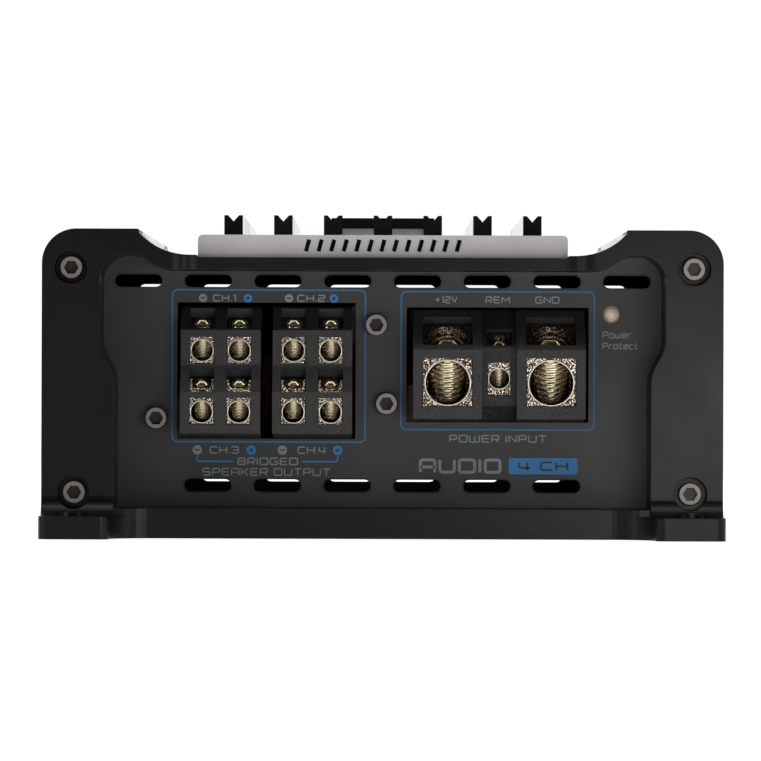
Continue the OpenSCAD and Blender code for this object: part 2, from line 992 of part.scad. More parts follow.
// Rotary control bodies on the upright board
module control_bodies() {
    front = -y_body - 0.9;
    back = control_y + 1.6;
    color("#33517a")
        for (at = knob_at)
            difference() {
                translate([at[0] - 5.5, back, at[1] - 5.5])
                    cube([11, front - back, 11]);
                rod_y(at, front - 6, front + 1, 2 * knob_shaft_r + 0.1);
            }
}

module switch_bodies() {
    front = -y_body - 0.7;
    back = control_y + 1.6;
    color("#9a9da1")
        for (at = switch_at)
            difference() {
                translate([at[0] - 8, back, at[1] - 4.4])
                    cube([16, front - back, 8.8]);
                translate([at[0] - 5.3, front - 5.6, at[1] - 2.2])
                    cube([10.6, 6, 4.4]);
            }
}

// Fluted knob with its shaft; the pointer slot is cut in the face
module knob(at) {
    y_face = -y_panel + 6.4;
    color("#1f2023")
        difference() {
            union() {
                rod_y(at, -y_body - 6.7, -y_panel + 1, 2 * knob_shaft_r);
                rod_y(at, -y_panel + 0.5, y_face, 2 * knob_r);
            }
            for (a = [0:30:330])
                rod_y([at[0] + (knob_r + 0.35) * cos(a), at[1] + (knob_r + 0.35) * sin(a)],
                    -y_panel + 1.6, y_face + 1, 1.7);
            translate([at[0], y_face - 0.6, at[1]])
                rotate([0, 135, 0])
                    translate([-0.4, 0, 0])
                        cube([0.8, 2, knob_r + 1]);
        }
}

// Slider resting at the left end of its travel
module mode_slider(at) {
    front = -y_body - 0.7;
    color("#1f2023")
        translate([at[0] - slider_shift, 0, at[1]]) {
            translate([-2.2, front - 5.4, -2.1])
                cube([4.4, 5.2, 4.2]);
            translate([-1.4, front - 1, -1.4])
                cube([2.8, 5.6, 2.8]);
        }
}

// ---------------------------------------------------------------- nodes

heatsink();
end_cap(true);  // end_cap_front
mirror([0, 1, 0]) end_cap(false);  // end_cap_rear
terminal_panel();
input_panel();
bottom_plate();
badge_plate();
roof_plate();
corner_screws();  // corner_screws_front
mirror([0, 1, 0]) corner_screws();  // corner_screws_rear
panel_screws_front();
panel_screws_rear();
bottom_screws();
circuit_board();
board_screws();
speaker_block(-42.1, -25.4, [speaker_x[0], speaker_x[1]], [-51, -42], [20.6, 29]);  // speaker_block_left
speaker_block(-22.9, -6.3, [speaker_x[2], speaker_x[3]], [-6.4, 2.4], [40.4, 48.2]);  // speaker_block_right
speaker_clamps();
power_block();
power_clamps();
remote_clamp();
indicator_lamp();
transformer_core();
transformer_winding();
filter_chokes();
reservoir_capacitors();
small_capacitors();
board_chips();
power_transistors();
insulating_pads();
clamp_bars();
clamp_bar_screws();
control_board();
control_chips();
phono_block();
phono_shells();
phono_inserts();
control_bodies();
switch_bodies();
knob(knob_at[0]);  // level_knob_a
knob(knob_at[1]);  // crossover_knob_a
knob(knob_at[2]);  // level_knob_b
knob(knob_at[3]);  // crossover_knob_b
mode_slider(switch_at[0]);  // mode_slider_a
mode_slider(switch_at[1]);  // mode_slider_b
speaker_screw(speaker_x[0], upper_axis);  // speaker_screw_1
speaker_screw(speaker_x[1], upper_axis);  // speaker_screw_2
speaker_screw(speaker_x[2], upper_axis);  // speaker_screw_3
speaker_screw(speaker_x[3], upper_axis);  // speaker_screw_4
speaker_screw(speaker_x[0], lower_axis);  // speaker_screw_5
speaker_screw(speaker_x[1], lower_axis);  // speaker_screw_6
speaker_screw(speaker_x[2], lower_axis);  // speaker_screw_7
speaker_screw(speaker_x[3], lower_axis);  // speaker_screw_8
power_screw(power_x[0]);  // power_screw_plus
power_screw(power_x[1]);  // power_screw_ground
remote_screw();
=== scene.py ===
"""Looks, light and camera for a compact car amplifier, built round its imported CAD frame."""

import json
import math

import bmesh
import bpy
from mathutils import Matrix, Vector


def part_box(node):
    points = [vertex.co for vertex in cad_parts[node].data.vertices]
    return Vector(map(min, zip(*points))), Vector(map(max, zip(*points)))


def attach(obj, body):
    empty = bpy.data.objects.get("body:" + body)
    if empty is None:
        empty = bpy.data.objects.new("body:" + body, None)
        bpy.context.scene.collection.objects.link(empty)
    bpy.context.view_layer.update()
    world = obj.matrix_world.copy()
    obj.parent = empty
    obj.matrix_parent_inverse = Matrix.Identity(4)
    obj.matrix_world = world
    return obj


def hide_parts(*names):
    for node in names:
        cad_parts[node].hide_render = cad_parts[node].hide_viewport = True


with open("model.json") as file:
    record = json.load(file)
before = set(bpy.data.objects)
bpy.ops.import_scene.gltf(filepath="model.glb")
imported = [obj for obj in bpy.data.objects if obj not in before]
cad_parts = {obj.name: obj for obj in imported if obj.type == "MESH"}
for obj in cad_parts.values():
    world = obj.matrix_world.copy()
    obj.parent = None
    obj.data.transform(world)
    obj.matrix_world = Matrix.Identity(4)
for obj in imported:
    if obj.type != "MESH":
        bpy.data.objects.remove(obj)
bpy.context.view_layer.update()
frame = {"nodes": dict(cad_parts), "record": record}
NODES = frame["nodes"]
MM = 0.001


# ------------------------------------------------------------------ materials

class Look:
    """A small helper round one procedural material."""

    def __init__(self, name):
        self.mat = bpy.data.materials.new(name)
        self.mat.use_nodes = True
        self.tree = self.mat.node_tree
        self.shader = self.tree.nodes["Principled BSDF"]
        self.coord = self.add("ShaderNodeTexCoord")

    def add(self, kind, **values):
        made = self.tree.nodes.new(kind)
        for key, value in values.items():
            if key in made.inputs:
                made.inputs[key].default_value = value
            else:
                setattr(made, key, value)
        return made

    def wire(self, a, b):
        self.tree.links.new(a, b)

    def set(self, **values):
        for key, value in values.items():
            self.shader.inputs[key.replace("_", " ")].default_value = value

    def noise(self, scale, detail=3.0, stretch=(1, 1, 1), roughness=0.55):
        place = self.add("ShaderNodeMapping")
        place.inputs["Scale"].default_value = stretch
        self.wire(self.coord.outputs["Object"], place.inputs["Vector"])
        made = self.add("ShaderNodeTexNoise", Scale=scale, Detail=detail, Roughness=roughness)
        self.wire(place.outputs["Vector"], made.inputs["Vector"])
        return made.outputs["Fac"]

    def cells(self, scale, stretch=(1, 1, 1)):
        place = self.add("ShaderNodeMapping")
        place.inputs["Scale"].default_value = stretch
        self.wire(self.coord.outputs["Object"], place.inputs["Vector"])
        made = self.add("ShaderNodeTexVoronoi", Scale=scale)
        self.wire(place.outputs["Vector"], made.inputs["Vector"])
        return made.outputs["Distance"]

    def ramp(self, source, stops):
        made = self.add("ShaderNodeValToRGB")
        while len(made.color_ramp.elements) < len(stops):
            made.color_ramp.elements.new(0.5)
        for element, (position, colour) in zip(made.color_ramp.elements, stops):
            element.position = position
            element.color = colour if len(colour) == 4 else (*colour, 1)
        self.wire(source, made.inputs["Fac"])
        return made.outputs["Color"]

    def spread(self, source, low, high, start=0.3, end=0.7):
        made = self.add("ShaderNodeMapRange")
        made.inputs["From Min"].default_value = start
        made.inputs["From Max"].default_value = end
        made.inputs["To Min"].default_value = low
        made.inputs["To Max"].default_value = high
        self.wire(source, made.inputs["Value"])
        return made.outputs["Result"]

    def bump(self, source, depth, strength=1.0, under=None):
        made = self.add("ShaderNodeBump", Strength=strength, Distance=depth)
        self.wire(source, made.inputs["Height"])
        if under is not None:
            self.wire(under, made.inputs["Normal"])
        return made.outputs["Normal"]

    def edge(self, radius):
        """The slight rounding that every real edge has, as a shading normal."""
        if not radius:
            return None
        made = self.add("ShaderNodeBevel", samples=6)
        made.inputs["Radius"].default_value = radius * MM
        return made.outputs["Normal"]

    def colour(self, socket):
        self.wire(socket, self.shader.inputs["Base Color"])

    def rough(self, socket):
        self.wire(socket, self.shader.inputs["Roughness"])

    def normal(self, socket):
        self.wire(socket, self.shader.inputs["Normal"])


def grey(value):
    return (value, value, value)


def tint(colour, factor):
    return tuple(min(1.0, c * factor) for c in colour)


def coat(name, colour, rough, grain=5200.0, depth=0.000012, shine=0.5, edge=0.0):
    """Powder or satin coat: a fine grain with slow changes of tone and gloss."""
    look = Look(name)
    fine = look.noise(grain, 2.0)
    slow = look.noise(55.0, 4.0)
    look.colour(look.ramp(slow, [(0.3, tint(colour, 0.9)), (0.7, tint(colour, 1.1))]))
    look.rough(look.spread(slow, rough - 0.04, rough + 0.05))
    look.normal(look.bump(fine, depth, 0.6, look.edge(edge)))
    look.shader.inputs["Specular IOR Level"].default_value = shine
    return look.mat


def drawn(name, colour, rough, stretch, metal):
    """Metal with straight drawing or brushing lines; stretch sets their direction."""
    look = Look(name)
    lines = look.noise(1.0, 4.0, stretch)
    slow = look.noise(40.0, 3.0)
    look.colour(look.ramp(lines, [(0.3, tint(colour, 0.88)), (0.7, tint(colour, 1.12))]))
    look.rough(look.spread(slow, rough - 0.03, rough + 0.03))
    look.normal(look.bump(lines, 0.00001, 0.5))
    look.set(Metallic=metal)
    look.shader.inputs["Specular IOR Level"].default_value = 0.5
    return look.mat


def eroded(name, colour, rough, edge=0.0):
    """Moulded plastic with a spark-eroded surface; the dark and bright specks in its colour are painted
    shade and painted sparkle, the bump is its real grain.
    """
    look = Look(name)
    fine = look.cells(6400.0)
    soft = look.noise(4300.0, 3.0, roughness=0.7)
    slow = look.noise(160.0, 3.0)
    look.colour(look.ramp(soft, [(0.38, tint(colour, 0.25)), (0.5, colour), (0.62, tint(colour, 3.2))]))
    look.rough(look.spread(slow, rough - 0.06, rough + 0.06))
    look.normal(look.bump(fine, 0.00006, 0.8, look.bump(soft, 0.00006, 0.8, look.edge(edge))))
    return look.mat


def plated(name, bright, dull, rough, pit, depth, sharp=0.11, edge=0.0, mid=0.5):
    """Plated metal with pits; its colour is darkest in the pits, painted shade, and carries a speckle of
    bright spots, painted glints.
    """
    look = Look(name)
    pits = look.noise(pit, 5.0)
    slow = look.noise(420.0, 3.0)
    look.colour(look.ramp(pits, [(mid - sharp, tint(dull, 0.25)), (mid, dull), (mid + sharp, bright)]))
    look.rough(look.spread(slow, rough - 0.04, rough + 0.05))
    look.normal(look.bump(pits, depth, 0.8, look.edge(edge)))
    look.set(Metallic=1.0)
    return look.mat


def turned(name, colour, rough, depth=0.000004):
    """Clean machined metal: even tone, faint grain."""
    look = Look(name)
    grain = look.noise(5200.0, 3.0)
    slow = look.noise(260.0, 2.0)
    look.colour(look.ramp(slow, [(0.3, tint(colour, 0.9)), (0.7, tint(colour, 1.08))]))
    look.rough(look.spread(slow, rough - 0.03, rough + 0.03))
    look.normal(look.bump(grain, depth, 0.5))
    look.set(Metallic=1.0)
    return look.mat


def ink(name, colour):
    """Screen-printed ink with a slightly uneven film."""
    look = Look(name)
    film = look.noise(2600.0, 3.0)
    look.colour(look.ramp(film, [(0.3, tint(colour, 0.85)), (0.65, tint(colour, 1.08))]))
    look.rough(look.spread(film, 0.42, 0.6))
    look.normal(look.bump(film, 0.000008, 0.4))
    return look.mat


def lens(name, colour):
    """Milky lamp lens with a little light of its own."""
    look = Look(name)
    cloud = look.noise(900.0, 3.0)
    look.colour(look.ramp(cloud, [(0.3, tint(colour, 0.9)), (0.7, tint(colour, 1.08))]))
    look.rough(look.spread(cloud, 0.2, 0.3))
    look.set(Emission_Strength=0.12)
    look.shader.inputs["Emission Color"].default_value = (*colour, 1)
    look.shader.inputs["Subsurface Weight"].default_value = 0.2
    look.shader.inputs["Subsurface Radius"].default_value = (0.001, 0.0007, 0.0005)
    look.shader.inputs["Coat Weight"].default_value = 0.4
    return look.mat


def laminate(name, colour, track):
    """Solder-masked board with faint tracks and pads."""
    look = Look(name)
    tracks = look.cells(260.0, (1, 0.35, 1))
    weave = look.noise(2400.0, 2.0)
    look.colour(look.ramp(tracks, [(0.18, track), (0.24, colour), (0.6, tint(colour, 0.85))]))
    look.rough(look.spread(weave, 0.28, 0.4))
    look.normal(look.bump(tracks, 0.00002, 0.5, look.bump(weave, 0.000008, 0.3)))
    return look.mat


def wound(name, colour):
    """Enamelled wire lying side by side."""
    look = Look(name)
    wave = look.add("ShaderNodeTexWave", Scale=420.0, Distortion=1.2, Detail=2.0)
    look.wire(look.coord.outputs["Object"], wave.inputs["Vector"])
    tone = look.noise(300.0, 3.0)
    look.colour(look.ramp(tone, [(0.3, tint(colour, 0.7)), (0.7, tint(colour, 1.15))]))
    look.rough(look.spread(tone, 0.28, 0.42))
    look.normal(look.bump(wave.outputs["Fac"], 0.0003, 0.9))
    look.set(Metallic=0.7)
    return look.mat


LOOKS = {
    "body_coat": coat("body_coat", grey(0.012), 0.07, 900.0, 0.0000004, 0.45),
    # Dull, near-black, unreflecting coat: painted shade for the cavity walls and the engraving floors.
    "painted_shade_coat": coat("painted_shade_coat", grey(0.006), 0.9, shine=0.0),
    "plate_coat": coat("plate_coat", grey(0.006), 0.3, 4000.0, 0.00001, 0.3),
    "cap_coat": coat("cap_coat", grey(0.0032), 0.31, 4600.0, 0.000006, 0.21, 0.3),
    "panel_sheet": coat("panel_sheet", grey(0.029), 0.45, 6400.0, 0.000008, 0.45, 0.14),
    "cover_sheet": coat("cover_sheet", grey(0.036), 0.45),
    "badge_metal": coat("badge_metal", (0.55, 0.53, 0.525), 0.62, 2600.0, 0.000002, 0.2),
    "raw_metal": plated("raw_metal", grey(0.8), grey(0.5), 0.35, 1600.0, 0.00003),
    "corner_screw_metal": turned("corner_screw_metal", (0.27, 0.235, 0.215), 0.5),
    "panel_screw_metal": turned("panel_screw_metal", (0.22, 0.195, 0.185), 0.36),
    # Near-black painted shade for the floors of the screw sockets.
    "socket_painted_shade": coat("socket_painted_shade", (0.012, 0.010, 0.009), 0.4, shine=0.4),
    "plain_screw_metal": turned("plain_screw_metal", (0.62, 0.62, 0.63), 0.28),
    "board_laminate": laminate("board_laminate", (0.012, 0.095, 0.035), (0.03, 0.17, 0.06)),
    "terminal_plastic": eroded("terminal_plastic", (0.0175, 0.0165, 0.016), 0.6, 0.1),
    # Clamp faces: a dark base, darker still in the pits, with a bright speckle: painted shade and painted
    # glints.
    "clamp_plating": plated("clamp_plating", (0.92, 0.80, 0.68), (0.16, 0.12, 0.09), 0.22, 3300.0, 0.00016,
                            sharp=0.05, edge=0.1, mid=0.53),
    # Near-white metal for the wire-entry rims: painted highlight on the bore chamfers.
    "rim_highlight_metal": turned("rim_highlight_metal", (1.0, 0.92, 0.78), 0.3),
    "set_screw_metal": turned("set_screw_metal", (0.95, 0.85, 0.64), 0.2, 0.0000015),
    "lamp_lens": lens("lamp_lens", (0.78, 0.59, 0.45)),
    "core_ferrite": coat("core_ferrite", grey(0.06), 0.6),
    "copper_winding": wound("copper_winding", (0.52, 0.2, 0.07)),
    "capacitor_sleeve": coat("capacitor_sleeve", (0.02, 0.03, 0.055), 0.3),
    "chip_resin": coat("chip_resin", grey(0.016), 0.55),
    "pad_rubber": coat("pad_rubber", (0.28, 0.33, 0.36), 0.7),
    "bar_metal": drawn("bar_metal", grey(0.5), 0.35, (3000, 25, 3000), 1.0),
    "phono_plastic": coat("phono_plastic", grey(0.02), 0.5),
    "phono_gilt": turned("phono_gilt", (0.95, 0.72, 0.32), 0.2),
    "phono_insulator": coat("phono_insulator", (0.62, 0.61, 0.57), 0.35, 3000.0, 0.000006),
    "control_plastic": coat("control_plastic", (0.03, 0.08, 0.2), 0.45),
    "switch_metal": plated("switch_metal", grey(0.7), grey(0.45), 0.3, 1500.0, 0.00001),
    "knob_plastic": eroded("knob_plastic", grey(0.016), 0.5),
    "ink_grey": ink("ink_grey", (0.25, 0.26, 0.277)),
    "ink_blue": ink("ink_blue", (0.02, 0.22, 0.55)),
    "line_blue": ink("line_blue", (0.026, 0.135, 0.28)),
    "ink_dark": ink("ink_dark", (0.022, 0.025, 0.03)),
}
SLOT_OF = {p["node"]: p["material_slot"] for p in frame["record"]["subparts"]}
BODY_OF = {node: body for body, nodes in frame["record"]["behaviour"]["bodies"].items() for node in nodes}

for node, obj in NODES.items():
    obj.data.materials.clear()
    obj.data.materials.append(LOOKS[SLOT_OF[node]])


# ------------------------------------------------------------------ making pieces

def link(name, mesh, look, body="chassis", sharp=35):
    """Puts a new mesh in the scene as a piece that rides on a CAD body."""
    obj = bpy.data.objects.new(name, mesh)
    bpy.context.scene.collection.objects.link(obj)
    mesh.materials.append(LOOKS[look])
    mesh.polygons.foreach_set("use_smooth", [True] * len(mesh.polygons))
    if sharp:
        mesh.set_sharp_from_angle(angle=math.radians(sharp))
    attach(obj, body)
    return obj


SAME_POINT = 2e-6  # metres: points nearer than this are one point
BEVELLED_ABOVE = 32  # degrees between faces


def refined(node, width):
    """A copy of a CAD part with its edges broken, shown in its place."""
    bm = bmesh.new()
    bm.from_mesh(NODES[node].data)
    bmesh.ops.remove_doubles(bm, verts=bm.verts, dist=SAME_POINT)
    bmesh.ops.join_triangles(bm, faces=bm.faces, angle_face_threshold=math.radians(0.5),
                             angle_shape_threshold=math.radians(180))
    bm.verts.index_update()
    points = [tuple(v.co) for v in bm.verts]
    faces = [[v.index for v in f.verts] for f in bm.faces]
    bm.free()
    mesh = bpy.data.meshes.new(node + "_finished")
    mesh.from_pydata(points, [], faces)
    mesh.update()
    obj = link(node + "_finished", mesh, SLOT_OF[node], BODY_OF[node], sharp=0)
    bevel = obj.modifiers.new("broken_edges", "BEVEL")
    bevel.width = width * MM
    bevel.segments = 2
    bevel.limit_method = "ANGLE"
    bevel.angle_limit = math.radians(BEVELLED_ABOVE)
    bevel.use_clamp_overlap = False
    even = obj.modifiers.new("even_shading", "WEIGHTED_NORMAL")
    even.keep_sharp = False
    even.weight = 90
    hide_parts(node)


for part, width in {
    "badge_plate": 0.12, "level_knob_a": 0.16, "crossover_knob_a": 0.16, "level_knob_b": 0.16,
    "crossover_knob_b": 0.16, "mode_slider_a": 0.14, "mode_slider_b": 0.14, "phono_shells": 0.12,
    "phono_inserts": 0.12,
}.items():
    refined(part, width)


def recoated(node, second, chosen):
    """A copy of a CAD part whose chosen faces have a second finish."""
    mesh = NODES[node].data.copy()
    mesh.name = node + "_recoated"
    mesh.materials.clear()
    obj = bpy.data.objects.new(node + "_recoated", mesh)
    bpy.context.scene.collection.objects.link(obj)
    mesh.materials.append(LOOKS[SLOT_OF[node]])
    mesh.materials.append(LOOKS[second])
    for face in mesh.polygons:
        face.material_index = 1 if chosen(face) else 0
    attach(obj, BODY_OF[node])
    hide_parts(node)


ROOF_THICKNESS = 3 * MM
BOARD_TO_WALL = 1.2 * MM
BOARD_TO_FLOOR = 4 * MM
SOCKET_STARTS = 0.5 * MM
SLOT_STARTS = 0.15 * MM
SLOT_ENDS = 2 * MM


def inside_body(face):
    """True on the walls of the long cavity, which get a dull dark painted shade."""
    lo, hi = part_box("circuit_board")
    spot = face.center
    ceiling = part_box("badge_plate")[0].z - ROOF_THICKNESS
    between_walls = abs(spot.x) < hi.x + BOARD_TO_WALL and spot.z < ceiling
    return between_walls and abs(face.normal.y) < 0.5 and spot.z > lo.z - BOARD_TO_FLOOR


def socket_floor(node):
    """A test for the faces that look out of a screw head from well below its face: the socket floors, which
    get painted shade.
    """
    ahead = -1 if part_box(node)[0].y < 0 else 1
    tip = max(ahead * v.co.y for v in NODES[node].data.vertices)
    return lambda face: face.normal.y * ahead > 0.9 and ahead * face.center.y < tip - SOCKET_STARTS


def darken_slots(node):
    """Gives the sunken faces of a bevelled front plate a dull dark painted shade."""
    mesh = bpy.data.objects[node + "_finished"].data
    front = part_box(node)[0].y
    mesh.materials.append(LOOKS["painted_shade_coat"])
    for face in mesh.polygons:
        if face.normal.y < -0.5 and front + SLOT_STARTS < face.center.y < front + SLOT_ENDS:
            face.material_index = 1


recoated("heatsink", "painted_shade_coat", inside_body)
darken_slots("badge_plate")
recoated("roof_plate", "raw_metal", lambda face: face.normal.z < -0.5)
# The socket floors of these screws get a near-black painted shade.
for node in ("corner_screws_front", "corner_screws_rear", "panel_screws_front", "panel_screws_rear"):
    recoated(node, "socket_painted_shade", socket_floor(node))


def beads(name, look, paths, y, outward, r, sides=8):
    """Rounded beads swept round closed outlines on one upright face."""
    bm = bmesh.new()
    for path in paths:
        count = len(path)
        loops = []
        for i in range(count):
            before, here, after = Vector(path[i - 1]), Vector(path[i]), Vector(path[(i + 1) % count])
            along = (after - before).normalized()
            side = Vector((along.y, -along.x))
            loop = []
            for k in range(sides):
                turn = 2 * math.pi * k / sides
                spot = here + side * r * math.cos(turn)
                loop.append(bm.verts.new((spot.x * MM, y + outward * r * math.sin(turn) * MM, spot.y * MM)))
            loops.append(loop)
        for i in range(count):
            for k in range(sides):
                m = (k + 1) % sides
                bm.faces.new((loops[i - 1][k], loops[i][k], loops[i][m], loops[i - 1][m]))
    bmesh.ops.recalc_face_normals(bm, faces=bm.faces)
    mesh = bpy.data.meshes.new(name)
    bm.to_mesh(mesh)
    bm.free()
    link(name, mesh, look, sharp=0)


def ring_path(x, z, r, count=40):
    """A closed circle of points round x, z."""
    turns = [2 * math.pi * i / count for i in range(count)]
    return [(x + r * math.cos(turn), z + r * math.sin(turn)) for turn in turns]


def slot_path(x, z, w, h, count=10):
    """A closed slot outline with round ends, w long and h high."""
    out = []
    for cx, start in ((x + (w - h) / 2, -90), (x - (w - h) / 2, 90)):
        for i in range(count + 1):
            turn = math.radians(start + 180 * i / count)
            out.append((cx + h / 2 * math.cos(turn), z + h / 2 * math.sin(turn)))
    return out


front_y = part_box("terminal_panel")[0].y
rear_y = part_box("input_panel")[1].y
VENT_PITCH = 14.6
VENT_LENGTH = 10.1
VENT_HEIGHT = 2.84
UPPER_VENTS = [((i - 3.5) * VENT_PITCH, 53.5) for i in range(8)]
LOWER_VENTS = [((i - 2.5) * VENT_PITCH, 10.7) for i in range(6)]
rims = [slot_path(x, z, VENT_LENGTH, VENT_HEIGHT) for x, z in UPPER_VENTS + LOWER_VENTS]
beads("vent_rims_front", "panel_sheet", rims, front_y, -1, 0.15)
beads("vent_rims_rear", "panel_sheet", rims, rear_y, 1, 0.15)

# Wire entries of the clamps: centres, height, radius, how far proud of the panel, and the rim's own radius.
# Each rim is a bead of near-white metal: a real chamfer shape with a painted highlight in its colour.
SPEAKER_X = (-37.62, -29.88, -18.55, -10.81)
POWER_X = (13.55, 35.05)
REMOTE_X = (24.3,)
for name, centres, z, r, proud, bead, points in (
    ("wire_entry_rims_upper", SPEAKER_X, 38.9, 2.32, 4.9, 0.13, 40),
    ("wire_entry_rims_lower", SPEAKER_X, 26.1, 2.32, 8.9, 0.13, 40),
    ("power_entry_rims", POWER_X, 32.3, 4.74, 11.2, 0.16, 64),
    ("remote_entry_rim", REMOTE_X, 33.2, 2.2, 7.7, 0.12, 40),
):
    rings = [ring_path(x, z, r, points) for x in centres]
    beads(name, "rim_highlight_metal", rings, front_y - proud * MM, -1, bead)


# Stations along one pitch of thread, each with how deep it lies: flat crest, flank, rounded root, flank.
THREAD = ((0.0, 0.0), (0.18, 0.0), (0.27, 0.1), (0.49, 0.9), (0.59, 1.0), (0.69, 0.9), (0.91, 0.1))
THREAD_DEPTH = 0.58  # share of the pitch
SCREW_LEAN = math.radians(35)
FOOT_CHAMFER = 0.6
HEAD_CHAMFER = 0.4
SOCKET_CHAMFER = 0.1
SOCKET_CONE = 0.35


def threaded(node, radius, length, pitch, socket, socket_depth, around=48):
    """Shows a set screw with its real thread, chamfers and hexagon socket in place of the plain CAD one."""
    axis = Vector((0, -math.sin(SCREW_LEAN), math.cos(SCREW_LEAN)))
    lo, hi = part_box(node)
    base = (lo + hi) / 2 - axis * (length / 2 * MM)
    turn = Matrix.Rotation(SCREW_LEAN, 4, "X")
    depth = pitch * THREAD_DEPTH
    rows = (int(length / pitch) + 3) * len(THREAD)
    bm = bmesh.new()

    def point(r, a, z):
        return bm.verts.new(base + turn @ Vector((r * math.cos(a), r * math.sin(a), z)) * MM)

    grid = []
    for i in range(around):
        column = []
        for j in range(rows):
            part, sink = THREAD[j % len(THREAD)]
            z = (j // len(THREAD) - 1 + part + i / around) * pitch
            flat = min(max(z, 0.0), length)
            limit = min(radius, radius - FOOT_CHAMFER + flat, radius - HEAD_CHAMFER + length - flat)
            column.append(point(min(limit, radius - depth * sink), 2 * math.pi * i / around, flat))
        grid.append(column)
    for i in range(around):
        ahead = len(THREAD) if i == around - 1 else 0
        other = grid[(i + 1) % around]
        for j in range(rows - 1 - ahead):
            bm.faces.new((grid[i][j], other[j + ahead], other[j + 1 + ahead], grid[i][j + 1]))
    angles = [2 * math.pi * i / around for i in range(around)]
    hexagon = [socket / 2 / math.cos(a % (math.pi / 3) - math.pi / 6) for a in angles]
    outer = [point(radius - HEAD_CHAMFER, a, length) for a in angles]
    mouth = [point(h + SOCKET_CHAMFER, a, length) for h, a in zip(hexagon, angles)]
    lip = [point(h, a, length - SOCKET_CHAMFER) for h, a in zip(hexagon, angles)]
    sole = [point(h, a, length - socket_depth) for h, a in zip(hexagon, angles)]
    tip = point(0, 0, length - socket_depth - SOCKET_CONE)
    foot = [point(radius - FOOT_CHAMFER, a, 0) for a in angles]
    for low, high in ((outer, mouth), (mouth, lip), (lip, sole)):
        for i in range(around):
            k = (i + 1) % around
            bm.faces.new((low[i], low[k], high[k], high[i]))
    for i in range(around):
        bm.faces.new((sole[i], sole[(i + 1) % around], tip))
    bm.faces.new(list(reversed(foot)))
    bmesh.ops.dissolve_degenerate(bm, edges=bm.edges, dist=1e-7)
    bmesh.ops.remove_doubles(bm, verts=bm.verts, dist=SAME_POINT)
    mesh = bpy.data.meshes.new(node + "_threaded")
    bm.to_mesh(mesh)
    bm.free()
    obj = link(node + "_threaded", mesh, "set_screw_metal", BODY_OF[node], sharp=50)
    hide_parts(node)


for i in range(1, 9):
    threaded("speaker_screw_%d" % i, 2.0, 8.0, 0.7, 2.0, 2.6)
for node in ("power_screw_plus", "power_screw_ground"):
    threaded(node, 4.0, 12.0, 1.25, 4.0, 4.5, 72)
threaded("remote_screw", 2.0, 9.6, 0.7, 2.0, 3.2)


# ------------------------------------------------------------------ printed markings

